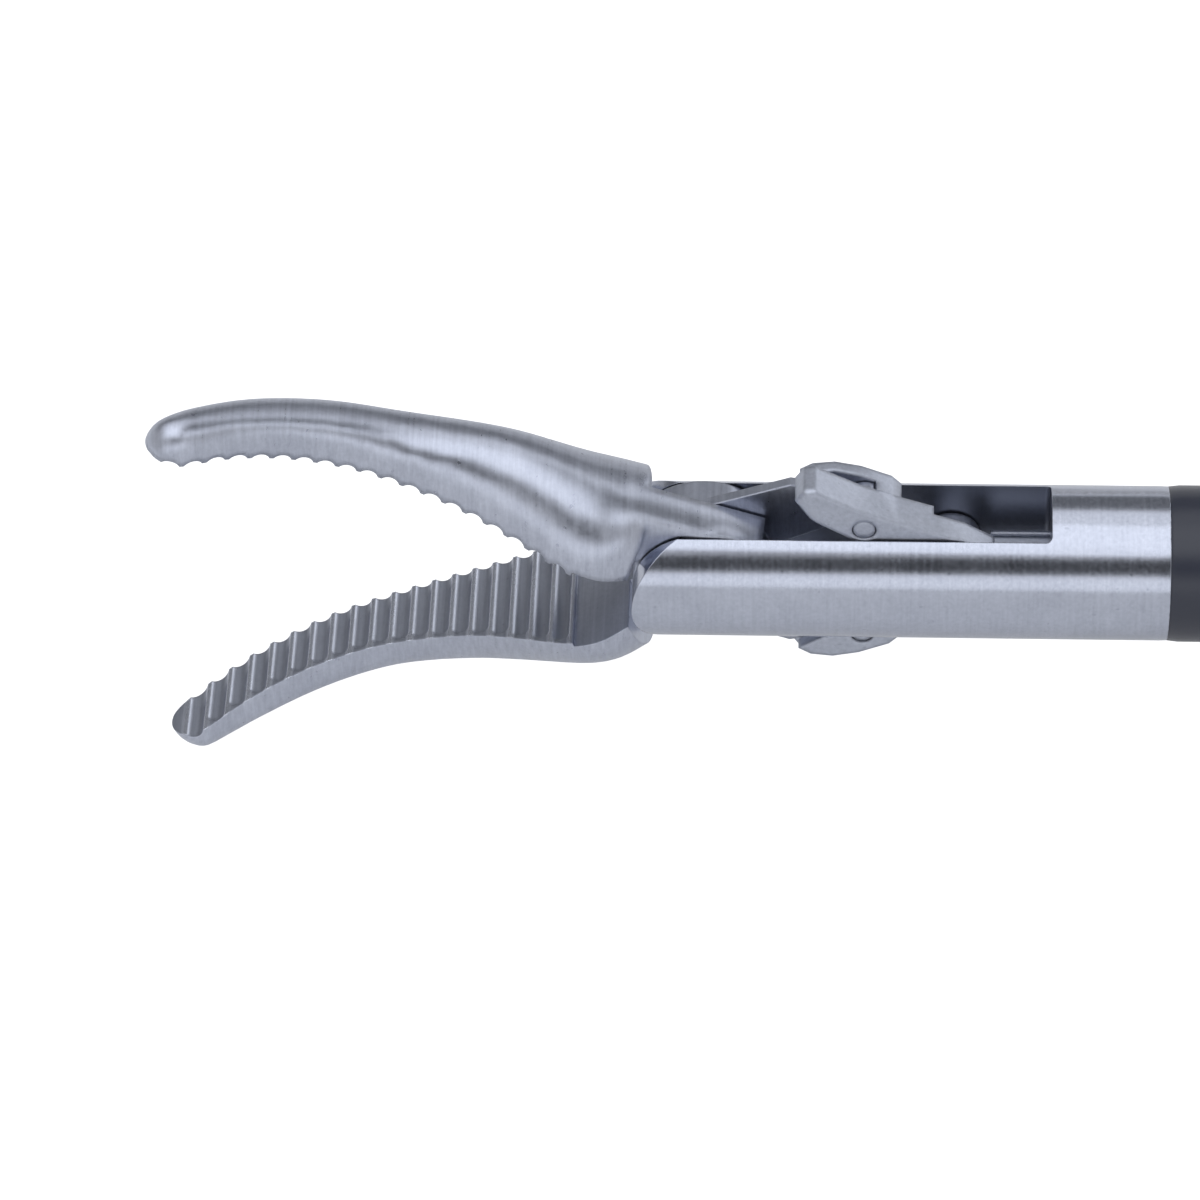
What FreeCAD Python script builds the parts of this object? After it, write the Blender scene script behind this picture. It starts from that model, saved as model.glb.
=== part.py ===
import FreeCAD, Part
import math
import os

# A reusable 5 mm laparoscopic grasper with two curved, finely toothed jaws, shown open.
# Millimetres.  +X runs from the jaws towards the handle, +Z is up, and the jaws open in the XZ plane.
# The origin lies on the shaft's axis, at the front edge of the black insulation.
# The instrument lies on its side, so its handle is flat in the XY plane with the grips towards -Y.

Vector = FreeCAD.Vector
X_AXIS = Vector(1, 0, 0)
Y_AXIS = Vector(0, 1, 0)
Z_AXIS = Vector(0, 0, 1)

# Fits
press_gap = 0.01
joint_dip = 0.01
running_gap = 0.04
slide_gap = 0.07

# Shaft
shaft_diameter = 5.0
insulation_wall = 0.20
insulation_length = 308.0
insulation_feather = 0.35
insulation_root_step = 0.3
tube_wall = 0.29
tube_tail = 13.0
rod_diameter = 2.0
guide_count = 4
guide_length = 4.0

# Clevis, the slotted front end that carries the jaws
clevis_step = 0.03
clevis_rear_ease = 0.25
pivot_distance = 14.8
cheek_end_radius = 2.25
slot_width = 2.58
slot_end_distance = 3.75
slot_corner_radius = 0.2
spigot_length = 8.0
pivot_pin_diameter = 1.3
pivot_pin_cover = 0.35

# Jaws
jaw_opening = 20.0
jaw_length = 18.3
jaw_root_radius = 2.4
jaw_back_distance = 2.6
jaw_face_gap = 0.01
bend_start = 11.0
bend_radius = 10.8
bend_offset = 0.84
bend_half_width = 1.18
tip_radius = 0.86
tip_thickness = 1.14
tooth_pitch = 0.71
tooth_depth = 0.17
tooth_crest = 0.13
first_tooth_distance = 4.5
lower_groove_margin = 0.12
upper_groove_margin = -0.30
heel_recess = 0.16
tang_inner_gap = 0.02
tang_back = 1.2
web_start = 0.6
web_back = 3.7
web_height = 2.1
tongue_thickness = 0.36
tongue_inner_gap = 0.05
tongue_half_width = 0.45
tongue_eye_radius = 0.58

# Links, which join the jaws' tails to the push rod
tail_arm = 5.68
tail_open_angle = 26.1
link_length = 3.754
tail_pin_diameter = 0.7
link_underside = 0.07
link_front_reach = 2.45
link_back_reach = 0.95
link_front_round = 0.22
link_ear_thickness = 0.42
link_arm_gap = 0.36
drive_eye_radius = 0.95
drive_pin_diameter = 0.9
drive_eye_play = 0.10
drive_eye_stretch = 0.16
rod_head_thickness = 0.66
rod_head_radius = 0.9
rod_head_tail = 3.4
rod_front_distance = 1.25

# Turning knob, hub and flushing port
knob_overlap = 12.0
knob_length = 30.0
knob_radius = 10.0
knob_nose_radius = 4.2
knob_nose_length = 9.0
knob_flute_count = 10
knob_flute_radius = 2.6
knob_flute_depth = 1.5
hub_radius = 4.0
hub_neck_radius = 3.6
hub_flange_radius = 7.0
hub_flange_length = 3.0
hub_tail = 4.0
ring_thickness = 1.0
ring_radius = 5.4
port_distance = 5.0
port_radius = 2.3
port_height = 13.0
port_bore = 1.4
cap_radius = 3.6
cap_height = 7.0

# Handle
housing_thickness = 20.0
housing_gap = 5.0
housing_length = 53.0
housing_nose_half = 9.5
housing_crown = 12.5
housing_crown_setback = 21.0
housing_crown_radius = 20.0
housing_base = 18.0
housing_base_step = 14.0
housing_edge_radius = 2.4
lever_pivot_setback = 25.0
lever_pivot_drop = 6.0
lever_pin_diameter = 4.0
lever_pin_length = 16.0
lever_thickness = 7.6
lever_hub_radius = 6.5
lever_arm_width = 9.0
lever_reach = 68.0
lever_open_angle = -56.0
lever_side_gap = 0.4
thumb_ring_bore_radius = 11.5
ring_rim = 4.2
grip_thickness = 10.0
grip_edge_radius = 2.2
finger_ring_radius = 11.0
finger_ring_stretch = 9.0
finger_ring_setback = 8.0
finger_ring_y = -58.0
tang_width = 13.0
tang_setback = 13.0
tang_depth = 8.0
ball_diameter = 4.0
ball_gap = 0.10

# Current connector
connector_pin_diameter = 4.0
connector_pin_exposed = 12.0
connector_root_diameter = 3.2
connector_tip_round = 0.8
connector_angle = 50.0
connector_setback = 35.0
connector_y = 7.0
collar_radius = 4.2
collar_length = 9.0

# Housing screws
screw_shank_radius = 1.25
screw_head_radius = 2.2
screw_head_height = 1.6
screw_sink = 0.4
screw_socket_radius = 0.9
screw_socket_depth = 0.9
screw_end_cover = 3.1

# Sizes that follow from those above
shaft_radius = shaft_diameter / 2
insulation_root_radius = shaft_radius + insulation_root_step
tube_outer_radius = shaft_radius - insulation_wall
tube_bore_radius = tube_outer_radius - tube_wall
rod_radius = rod_diameter / 2
clevis_radius = shaft_radius - clevis_step
joint_radius = clevis_radius - joint_dip
knob_front = insulation_length - knob_overlap
knob_back = knob_front + knob_length
housing_front = knob_back + housing_gap
tube_length = housing_front + tube_tail
lever_pivot_x = housing_front + lever_pivot_setback
finger_ring_x = housing_front + finger_ring_setback
tang_x = housing_front + tang_setback
connector_x = housing_front + connector_setback
slot_half = slot_width / 2
pivot_x = -pivot_distance
tail_closed_angle = tail_open_angle - jaw_opening
tail_closed = Vector(
    tail_arm * math.cos(math.radians(tail_closed_angle)),
    0,
    tail_arm * math.sin(math.radians(tail_closed_angle)),
)
tail_open = Vector(
    tail_arm * math.cos(math.radians(tail_open_angle)),
    0,
    tail_arm * math.sin(math.radians(tail_open_angle)),
)
drive_open = tail_open.x + math.sqrt(link_length ** 2 - tail_open.z ** 2)
drive_closed = tail_closed.x + math.sqrt(link_length ** 2 - tail_closed.z ** 2)
rod_stroke = drive_closed - drive_open
link_angle_open = math.degrees(math.asin(tail_open.z / link_length))
link_angle_closed = math.degrees(math.asin(tail_closed.z / link_length))
link_turn = link_angle_open - link_angle_closed
drive_x = pivot_x + drive_open
rod_front = drive_x + rod_front_distance
lever_swing = math.degrees(rod_stroke / lever_pivot_drop)
ball_x = lever_pivot_x - lever_pivot_drop * math.sin(math.radians(lever_swing / 2))
ball_radius = ball_diameter / 2
housing_half = housing_thickness / 2
lever_pivot = Vector(lever_pivot_x, -lever_pivot_drop, 0)
hub_front = insulation_length
flange_front = housing_front + 3.0
flange_back = flange_front + hub_flange_length


def box(low, high):
    """Return a box between two opposite corners."""
    return Part.makeBox(high.x - low.x, high.y - low.y, high.z - low.z, low)


def cylinder(radius, start, end):
    """Return a cylinder from one point to another."""
    direction = end.sub(start)
    return Part.makeCylinder(radius, direction.Length, start, direction)


def tube_along_x(outer, inner, start, end):
    """Return a tube on the shaft's axis."""
    body = cylinder(outer, Vector(start, 0, 0), Vector(end, 0, 0))
    hole = cylinder(inner, Vector(start - 1, 0, 0), Vector(end + 1, 0, 0))
    return body.cut(hole)


def revolve_about_x(outline):
    """Return the solid made by turning a list of (x, radius) points about the shaft's axis."""
    points = [Vector(x, radius, 0) for x, radius in outline]
    points.append(points[0])
    face = Part.Face(Part.makePolygon(points))
    return face.revolve(Vector(0, 0, 0), X_AXIS, 360)


def turned(shape, centre, axis, degrees):
    """Return a copy of a shape turned about an axis through a point."""
    copy = shape.copy()
    copy.rotate(centre, axis, degrees)
    return copy


def moved(shape, offset):
    """Return a copy of a shape moved by a vector."""
    copy = shape.copy()
    copy.translate(offset)
    return copy


def prism_y(points, near, far):
    """Return a prism from (x, z) points, between two Y positions."""
    corners = [Vector(x, near, z) for x, z in points]
    corners.append(corners[0])
    face = Part.Face(Part.makePolygon(corners))
    return face.extrude(Vector(0, far - near, 0))


def rounded_wire(corners, z):
    """Return a closed wire in the XY plane from (x, y, corner radius) points."""
    count = len(corners)
    starts = []
    ends = []
    arcs = []
    for index in range(count):
        x, y, radius = corners[index]
        here = Vector(x, y, z)
        before = Vector(corners[index - 1][0], corners[index - 1][1], z).sub(here)
        after = Vector(corners[(index + 1) % count][0], corners[(index + 1) % count][1], z).sub(here)
        before.normalize()
        after.normalize()
        half_angle = before.getAngle(after) / 2
        setback = radius / math.tan(half_angle)
        bisector = before.add(after)
        bisector.normalize()
        centre = here.add(bisector.multiply(radius / math.sin(half_angle)))
        start = here.add(before.multiply(setback))
        end = here.add(after.multiply(setback))
        inward = here.sub(centre)
        inward.normalize()
        middle = centre.add(inward.multiply(radius))
        starts.append(start)
        ends.append(end)
        arcs.append(Part.Arc(start, middle, end).toShape())
    edges = []
    for index in range(count):
        edges.append(arcs[index])
        edges.append(Part.makeLine(ends[index], starts[(index + 1) % count]))
    return Part.Wire(edges)


def rounded_plate(corners, half_thickness):
    """Return a plate with rounded corners, centred on the XY plane."""
    face = Part.Face(rounded_wire(corners, -half_thickness))
    return face.extrude(Vector(0, 0, 2 * half_thickness))


def soften_rims(shape, radius):
    """Round the edges that lie in a plate's two flat faces."""
    top = shape.BoundBox.ZMax
    bottom = shape.BoundBox.ZMin
    rims = []
    for edge in shape.Edges:
        limits = edge.BoundBox
        flat = limits.ZLength < 0.001
        if flat and (abs(limits.ZMax - top) < 0.001 or abs(limits.ZMin - bottom) < 0.001):
            rims.append(edge)
    return shape.makeFillet(radius, rims)


def obround(centre, radius, stretch, half_thickness):
    """Return a plate with two straight sides along Y and two round ends."""
    shift = Vector(0, stretch, 0)
    low = Vector(0, 0, -half_thickness)
    high = Vector(0, 0, half_thickness)
    near_end = cylinder(radius, centre.sub(shift).add(low), centre.sub(shift).add(high))
    far_end = cylinder(radius, centre.add(shift).add(low), centre.add(shift).add(high))
    middle = box(
        centre.add(Vector(-radius, -stretch, -half_thickness)),
        centre.add(Vector(radius, stretch, half_thickness)),
    )
    return near_end.fuse(far_end).fuse(middle).removeSplitter()


# The jaws' working parts

def section_points(near, far, thickness, near_square, far_square):
    """Return the (across, up) points of one jaw section, from its near edge over the top to its far edge."""
    steps = 7
    middle = (near + far) / 2
    half = (far - near) / 2
    points = []
    for step in range(steps + 1):
        angle = math.pi / 2 * step / steps
        across = math.cos(angle) ** (2 / near_square)
        up = math.sin(angle) ** (2 / near_square)
        points.append((middle - half * across, thickness * up))
    for step in range(1, steps + 1):
        angle = math.pi / 2 * (steps - step) / steps
        across = math.cos(angle) ** (2 / far_square)
        up = math.sin(angle) ** (2 / far_square)
        points.append((middle + half * across, thickness * up))
    return points


def section_wire(points, origin, across):
    """Return one closed jaw section in the plane through a point and a level direction."""
    places = []
    for side, up in points:
        places.append(origin.add(Vector(across.x * side, across.y * side, up)))
    count = len(places)
    knots = [index / (count - 1) for index in range(count)]
    curve = Part.BSplineCurve()
    curve.interpolate(Points=places, Parameters=knots)
    base = Part.makeLine(places[-1], places[0])
    return Part.Wire([curve.toShape(), base])


def spine_place(distance):
    """Return the spine's point and its direction across, at a distance along the spine from the pivot."""
    if distance <= bend_start:
        return Vector(-distance, 0, 0), Vector(0, 1, 0)
    angle = (distance - bend_start) / bend_radius
    along = bend_start + bend_radius * math.sin(angle)
    side = bend_offset - bend_radius * (1 - math.cos(angle))
    return Vector(-along, side, 0), Vector(-math.sin(angle), math.cos(angle), 0)


def straight_stations():
    """Return the jaw's straight sections as distance, near edge, far edge, thickness and two squarenesses."""
    root = jaw_root_radius
    return (
        (1.6, -root, root, root, 2.0, 2.0),
        (3.2, -root, root, root, 2.0, 2.0),
        (4.7, -0.97 * root, 0.97 * root, 0.99 * root, 2.0, 2.0),
        (5.7, -1.88, 2.30, 2.34, 2.05, 2.0),
        (6.9, -1.32, 2.26, 2.25, 2.15, 2.05),
        (8.2, -0.85, 2.20, 2.03, 2.3, 2.1),
        (9.6, -0.53, 2.12, 1.74, 2.6, 2.15),
        (bend_start, bend_offset - bend_half_width, bend_offset + bend_half_width, 1.53, 2.9, 2.1),
    )


def near_edge(distance):
    """Return the Y position of the face's near edge at a distance from the pivot."""
    if distance >= bend_start:
        share = (distance - bend_start) / (jaw_length - bend_start)
        inner_radius = bend_radius - bend_half_width - share * (tip_radius - bend_half_width)
        angle = math.asin((distance - bend_start) / inner_radius)
        return bend_offset - bend_radius + inner_radius * math.cos(angle)
    stations = straight_stations()
    for before, after in zip(stations, stations[1:]):
        if distance <= after[0]:
            share = (distance - before[0]) / (after[0] - before[0])
            return before[1] + share * (after[1] - before[1])
    return stations[-1][1]


def jaw_blank():
    """Return the upper jaw's working part, closed, with its pivot at the origin and its face at Z = 0."""
    # share of the bend's length, half width, thickness, squareness of near and far sides
    bend_stations = (
        (0.20, 1.11, 1.43, 3.2, 2.05),
        (0.42, 1.03, 1.37, 3.4, 2.0),
        (0.66, 0.96, 1.32, 3.2, 2.0),
        (0.84, 0.91, 1.25, 2.8, 2.0),
    )
    wires = []
    for distance, near, far, thickness, near_square, far_square in straight_stations():
        points = section_points(near, far, thickness, near_square, far_square)
        wires.append(section_wire(points, Vector(-distance, 0, 0), Vector(0, 1, 0)))
    bend_length = bend_radius * math.asin((jaw_length - bend_start) / bend_radius)
    dome_start = bend_length - tip_radius
    for share, half, thickness, near_square, far_square in bend_stations:
        origin, across = spine_place(bend_start + share * dome_start)
        points = section_points(-half, half, thickness, near_square, far_square)
        wires.append(section_wire(points, origin, across))
    for dome_angle in (90, 62, 38, 20, 9):
        share = math.sin(math.radians(dome_angle))
        back = tip_radius * (1 - math.cos(math.radians(dome_angle)))
        origin, across = spine_place(bend_start + bend_length - back)
        half = tip_radius * share
        points = section_points(-half, half, tip_thickness * share, 2.3, 2.0)
        wires.append(section_wire(points, origin, across))
    return Part.makeLoft(wires, True, False)


def tooth_grooves(margin):
    """Return the round cross grooves of a jaw's face, which stop a margin inside its near edge."""
    half_width = (tooth_pitch - tooth_crest) / 2
    radius = (half_width ** 2 + tooth_depth ** 2) / (2 * tooth_depth)
    sink = tooth_depth - radius
    count = int((jaw_length - tip_radius / 4 - first_tooth_distance) / tooth_pitch)
    grooves = []
    for index in range(count):
        distance = first_tooth_distance + tooth_pitch * (index + 0.5)
        near_end = Vector(-distance, near_edge(distance) + margin + half_width, sink)
        far_end = Vector(-distance, 2 * jaw_root_radius, sink)
        grooves.append(cylinder(radius, near_end, far_end).fuse(Part.makeSphere(radius, near_end)))
    return grooves


def jaw_tail():
    """Return the upper jaw's tang round the pivot with its thin tongue, closed, on the near side."""
    near = -slot_half + slide_gap
    far = -tang_inner_gap
    reach = jaw_back_distance + 1.0
    disc = cylinder(cheek_end_radius, Vector(0, near, 0), Vector(0, far, 0))
    block = box(Vector(-reach, near, heel_recess + jaw_face_gap), Vector(tang_back, far, jaw_root_radius))
    envelope = cylinder(jaw_root_radius, Vector(-reach, 0, 0), Vector(tang_back, 0, 0))
    tang = disc.fuse(block.common(envelope))
    tongue_near = -(tongue_inner_gap + tongue_thickness)
    tongue_far = -tongue_inner_gap
    eye_centre = Vector(tail_closed.x, 0, -tail_closed.z)
    eye = cylinder(
        tongue_eye_radius,
        eye_centre.add(Vector(0, tongue_near, 0)),
        eye_centre.add(Vector(0, tongue_far, 0)),
    )
    bar = box(Vector(0, tongue_near, -tongue_half_width), Vector(tail_arm, tongue_far, tongue_half_width))
    bar = turned(bar, Vector(0, 0, 0), Y_AXIS, tail_closed_angle)
    web_outline = (
        (web_start, 0),
        (web_start, -web_height),
        (web_back, -web_height),
        (eye_centre.x, eye_centre.z - tongue_eye_radius / 2),
        (eye_centre.x, eye_centre.z),
    )
    web = prism_y(web_outline, tongue_near, tongue_far)
    pin_hole = cylinder(
        tail_pin_diameter / 2 + press_gap,
        eye_centre.add(Vector(0, tongue_near - 1, 0)),
        eye_centre.add(Vector(0, tongue_far + 1, 0)),
    )
    return tang.fuse(bar).fuse(eye).fuse(web).cut(pin_hole)


def closed_jaw(upper):
    """Return one closed jaw with its pivot at the origin."""
    working = jaw_blank()
    back = box(Vector(-jaw_back_distance, -4, -1), Vector(0, 4, 4))
    heel = box(Vector(tooth_crest / 2 - first_tooth_distance, -4, -1), Vector(0, 4, heel_recess))
    margin = upper_groove_margin if upper else lower_groove_margin
    working = working.cut([back, heel] + tooth_grooves(margin))
    working.translate(Vector(0, 0, jaw_face_gap))
    tail = jaw_tail()
    if not upper:
        working = working.mirror(Vector(0, 0, 0), Z_AXIS)
        tail = turned(tail, Vector(0, 0, 0), X_AXIS, 180)
    bearing = cylinder(pivot_pin_diameter / 2 + running_gap, Vector(0, -4, 0), Vector(0, 4, 0))
    return working.fuse(tail).cut(bearing).removeSplitter()


def open_jaw(upper):
    """Return one jaw at rest, open, in its place on the clevis."""
    jaw = closed_jaw(upper)
    angle = jaw_opening if upper else -jaw_opening
    jaw = turned(jaw, Vector(0, 0, 0), Y_AXIS, angle)
    return moved(jaw, Vector(pivot_x, 0, 0))


# The linkage between the jaws and the rod

def round_front(block, near, front):
    """Round the near edge of a link's block, round its front end."""
    rims = []
    for edge in block.Edges:
        limits = edge.BoundBox
        if limits.YMax < near + 0.001 and limits.XMin < front + link_front_round and limits.XLength < 1:
            rims.append(edge)
    return block.makeFillet(link_front_round, rims)


def closed_link():
    """Return the upper link, closed, with the jaws' pivot at the origin."""
    x = tail_closed.x
    near = -slot_half + slide_gap
    slot_near = tongue_inner_gap - slide_gap / 2
    slot_far = tongue_inner_gap + tongue_thickness + slide_gap / 2
    ear_far = slot_far + link_ear_thickness
    front = x - link_front_reach
    block_outline = (
        (front + 0.6, link_underside),
        (front, link_underside + 0.3),
        (front, 0.9),
        (front + 0.25, 1.12),
        (x - 0.6, 1.22),
        (x + 0.7, 1.45),
        (x + 1.9, 1.72),
        (x + 1.9, link_underside),
    )
    arm_outline = (
        (x + 0.7, 1.45),
        (x + 1.9, 1.72),
        (x + 2.9, 1.95),
        (drive_closed + 0.35, 1.95),
        (drive_closed + 0.75, 0.5),
        (drive_closed, -drive_eye_radius * 0.8),
        (x + 2.1, -0.3),
        (x + 1.35, link_underside),
        (x + 0.7, link_underside),
    )
    ear_outline = (
        (front + 0.35, link_underside),
        (front + 0.55, 0.5),
        (x - 1.35, 0.95),
        (x - 0.55, 1.25),
        (x + 0.5, 1.42),
        (x + link_back_reach, 1.30),
        (x + link_back_reach, link_underside),
    )
    block = round_front(prism_y(block_outline, near, slot_near), near, front)
    arm = prism_y(arm_outline, near, -link_arm_gap)
    drive_eye = cylinder(
        drive_eye_radius, Vector(drive_closed, near, 0), Vector(drive_closed, -link_arm_gap, 0)
    )
    tail_place = Vector(x, 0, tail_closed.z)
    ear = prism_y(ear_outline, slot_near, ear_far)
    tongue_room = cylinder(
        tongue_eye_radius + slide_gap,
        tail_place.add(Vector(0, slot_near, 0)),
        tail_place.add(Vector(0, slot_far, 0)),
    )
    tongue_slot = box(Vector(x - 3, slot_near, -2), Vector(x, slot_far, shaft_radius))
    ear = ear.cut(tongue_room).cut(tongue_slot)
    link = block.fuse(ear).fuse(arm).fuse(drive_eye)
    envelope = cylinder(shaft_radius - 0.05, Vector(0, 0, 0), Vector(drive_closed + 3, 0, 0))
    link = link.common(envelope)
    tail_hole = cylinder(
        tail_pin_diameter / 2 + running_gap,
        tail_place.add(Vector(0, -4, 0)),
        tail_place.add(Vector(0, 4, 0)),
    )
    hole_radius = drive_pin_diameter / 2 + drive_eye_play
    drive_place = Vector(drive_closed, 0, 0)
    towards_tail = tail_place.sub(drive_place)
    towards_tail.normalize()
    stretch = Vector(towards_tail).multiply(drive_eye_stretch)
    reach = Vector(0, 4, 0)
    first = cylinder(hole_radius, drive_place.sub(reach), drive_place.add(reach))
    second = moved(first, stretch)
    return link.cut(tail_hole).cut(first).cut(second).removeSplitter()


def open_link(upper):
    """Return one link at rest, in its place."""
    link = turned(closed_link(), tail_closed, Y_AXIS, link_turn)
    link.translate(tail_open.sub(tail_closed))
    if not upper:
        link = turned(link, Vector(0, 0, 0), X_AXIS, 180)
    return moved(link, Vector(pivot_x, 0, 0))


def tail_pin(upper):
    """Return the pin that joins one link to its jaw's tongue."""
    near = -slot_half + slide_gap + running_gap
    far = tongue_inner_gap + tongue_thickness + slide_gap / 2 + link_ear_thickness - running_gap
    pin = cylinder(
        tail_pin_diameter / 2,
        tail_open.add(Vector(0, near, 0)),
        tail_open.add(Vector(0, far, 0)),
    )
    if not upper:
        pin = turned(pin, Vector(0, 0, 0), X_AXIS, 180)
    return moved(pin, Vector(pivot_x, 0, 0))


def rod_head():
    """Return the flat blade at the rod's front end, which carries the drive pin."""
    half = rod_head_thickness / 2
    eye = cylinder(rod_head_radius, Vector(drive_x, -half, 0), Vector(drive_x, half, 0))
    bar = box(
        Vector(drive_x, -half, -rod_head_radius + 0.1),
        Vector(drive_x + rod_head_tail, half, rod_head_radius - 0.1),
    )
    within_rod = cylinder(rod_radius, Vector(rod_front, 0, 0), Vector(rod_front + rod_head_tail, 0, 0))
    free_part = box(Vector(drive_x - 2, -1, -2), Vector(rod_front, 1, 2))
    hole = cylinder(drive_pin_diameter / 2 + press_gap, Vector(drive_x, -2, 0), Vector(drive_x, 2, 0))
    return eye.fuse(bar).common(within_rod.fuse(free_part)).cut(hole).removeSplitter()


def drive_pin():
    """Return the pin on which both links turn at the rod's head."""
    half = slot_half - slide_gap - running_gap
    return cylinder(drive_pin_diameter / 2, Vector(drive_x, -half, 0), Vector(drive_x, half, 0))


def push_rod():
    """Return the long rod from the linkage to the ball in the handle."""
    rod = cylinder(rod_radius, Vector(rod_front, 0, 0), Vector(ball_x, 0, 0))
    half = rod_head_thickness / 2 + press_gap
    slot_end = drive_x + rod_head_tail + press_gap
    slot = box(Vector(rod_front - 1, -half, -2), Vector(slot_end, half, 2))
    seat = Part.makeSphere(ball_radius + press_gap, Vector(ball_x, 0, 0))
    return rod.cut(slot).cut(seat)


def rod_ball():
    """Return the ball on the rod's rear end, which the thumb lever drives."""
    return Part.makeSphere(ball_radius, Vector(ball_x, 0, 0))


# Clevis and shaft

def clevis():
    """Return the slotted steel front end with its two cheeks, its eased rear edge and its spigot."""
    front = pivot_x - cheek_end_radius
    body_outline = (
        (front, 0),
        (front, clevis_radius),
        (-clevis_rear_ease, clevis_radius),
        (0, joint_radius),
        (0, 0),
    )
    body = revolve_about_x(body_outline)
    cheek_round = cylinder(cheek_end_radius, Vector(pivot_x, -3, 0), Vector(pivot_x, 3, 0))
    cheek_rest = box(Vector(pivot_x, -3, -3), Vector(1, 3, 3))
    body = body.common(cheek_round.fuse(cheek_rest))
    spigot = cylinder(tube_bore_radius - press_gap, Vector(0, 0, 0), Vector(spigot_length, 0, 0))
    body = body.fuse(spigot)
    radius = slot_corner_radius
    slot_corners = (
        (-slot_end_distance, slot_half, radius),
        (-slot_end_distance, -slot_half, radius),
        (front - 2, -slot_half, radius),
        (front - 2, slot_half, radius),
    )
    slot = rounded_plate(slot_corners, shaft_radius + 1)
    bore = cylinder(
        rod_radius + running_gap, Vector(-slot_end_distance - 1, 0, 0), Vector(spigot_length + 1, 0, 0)
    )
    blind_end = pivot_pin_cover - clevis_radius
    pin_hole = cylinder(
        pivot_pin_diameter / 2 + press_gap, Vector(pivot_x, blind_end, 0), Vector(pivot_x, 3, 0)
    )
    return body.cut(slot).cut(bore).cut(pin_hole)


def jaw_pivot_pin():
    """Return the pivot of the jaws, blind in the near cheek and ground flush with the far one."""
    blind_end = pivot_pin_cover - clevis_radius + press_gap
    pin = cylinder(pivot_pin_diameter / 2, Vector(pivot_x, blind_end, 0), Vector(pivot_x, 3, 0))
    flush = cylinder(clevis_radius, Vector(pivot_x - 2, 0, 0), Vector(pivot_x + 2, 0, 0))
    return pin.common(flush)


def outer_tube():
    """Return the steel tube of the shaft."""
    return tube_along_x(tube_outer_radius - press_gap, tube_bore_radius, 0, tube_length)


def insulation_sleeve():
    """Return the black insulation, with a feathered front edge and a thicker root that the knob grips."""
    outline = (
        (0, tube_outer_radius),
        (0, joint_radius),
        (insulation_feather, shaft_radius),
        (knob_front, shaft_radius),
        (knob_front, insulation_root_radius),
        (insulation_length, insulation_root_radius),
        (insulation_length, tube_outer_radius),
    )
    return revolve_about_x(outline)


def rod_guides():
    """Return the plastic rings that keep the rod in the middle of the tube."""
    guides = []
    spacing = (insulation_length - spigot_length) / (guide_count + 1)
    for index in range(guide_count):
        start = spigot_length + spacing * (index + 1) - guide_length / 2
        guides.append(
            tube_along_x(
                tube_bore_radius - press_gap, rod_radius + running_gap, start, start + guide_length
            )
        )
    return Part.makeCompound(guides)


def rod_seal():
    """Return the seal ring round the rod at the rear end of the tube."""
    end = tube_length - 1
    return tube_along_x(tube_bore_radius - press_gap, rod_radius + running_gap, end - 2.5, end)


# Knob, hub and flushing port

def rotation_knob():
    """Return the fluted knob that turns the shaft."""
    grip_front = knob_front + knob_nose_length
    outline = [
        (knob_front, insulation_root_radius + press_gap),
        (knob_front, knob_nose_radius - 0.6),
        (knob_front + 0.6, knob_nose_radius),
        (grip_front - 1, knob_nose_radius + 0.9),
        (grip_front + 1.2, knob_radius - 2.6),
        (grip_front + 3.6, knob_radius - 0.6),
        (grip_front + 5.0, knob_radius),
        (knob_back - 1.0, knob_radius),
        (knob_back, knob_radius - 1.0),
        (knob_back, hub_radius + press_gap),
        (hub_front, hub_radius + press_gap),
        (hub_front, insulation_root_radius + press_gap),
    ]
    body = revolve_about_x(outline)
    flute_end = knob_back - 5.0
    distance = knob_radius + knob_flute_radius - knob_flute_depth
    for index in range(knob_flute_count):
        angle = 2 * math.pi * (index + 0.5) / knob_flute_count
        side = Vector(0, math.sin(angle) * distance, math.cos(angle) * distance)
        start = side.add(Vector(grip_front - 2, 0, 0))
        end = side.add(Vector(flute_end, 0, 0))
        flute = cylinder(knob_flute_radius, start, end)
        flute = flute.fuse(Part.makeSphere(knob_flute_radius, end))
        body = body.cut(flute)
    port_x = knob_front + port_distance
    port_hole = cylinder(port_radius + press_gap, Vector(port_x, 0, shaft_radius), Vector(port_x, 0, 9))
    return body.cut(port_hole)


def knob_hub():
    """Return the metal hub under the knob, with the flange that turns in the housing."""
    outline = [
        (hub_front, tube_outer_radius),
        (hub_front, hub_radius),
        (knob_back + ring_thickness + 0.4, hub_radius),
        (knob_back + ring_thickness + 0.4, hub_neck_radius),
        (flange_front, hub_neck_radius),
        (flange_front, hub_flange_radius),
        (flange_back, hub_flange_radius),
        (flange_back, hub_neck_radius),
        (flange_back + hub_tail, hub_neck_radius),
        (flange_back + hub_tail, tube_outer_radius),
    ]
    return revolve_about_x(outline)


def retaining_ring():
    """Return the ring that holds the knob on its hub."""
    return tube_along_x(ring_radius, hub_radius + press_gap, knob_back, knob_back + ring_thickness)


def flush_port():
    """Return the port through which the shaft is rinsed."""
    x = knob_front + port_distance
    foot = insulation_root_radius + press_gap
    stem = cylinder(port_radius, Vector(x, 0, foot), Vector(x, 0, port_height))
    collar = cylinder(port_radius + 0.7, Vector(x, 0, port_height - 1.4), Vector(x, 0, port_height))
    bore = cylinder(port_bore, Vector(x, 0, foot + 1), Vector(x, 0, port_height + 1))
    return stem.fuse(collar).cut(bore)


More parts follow.
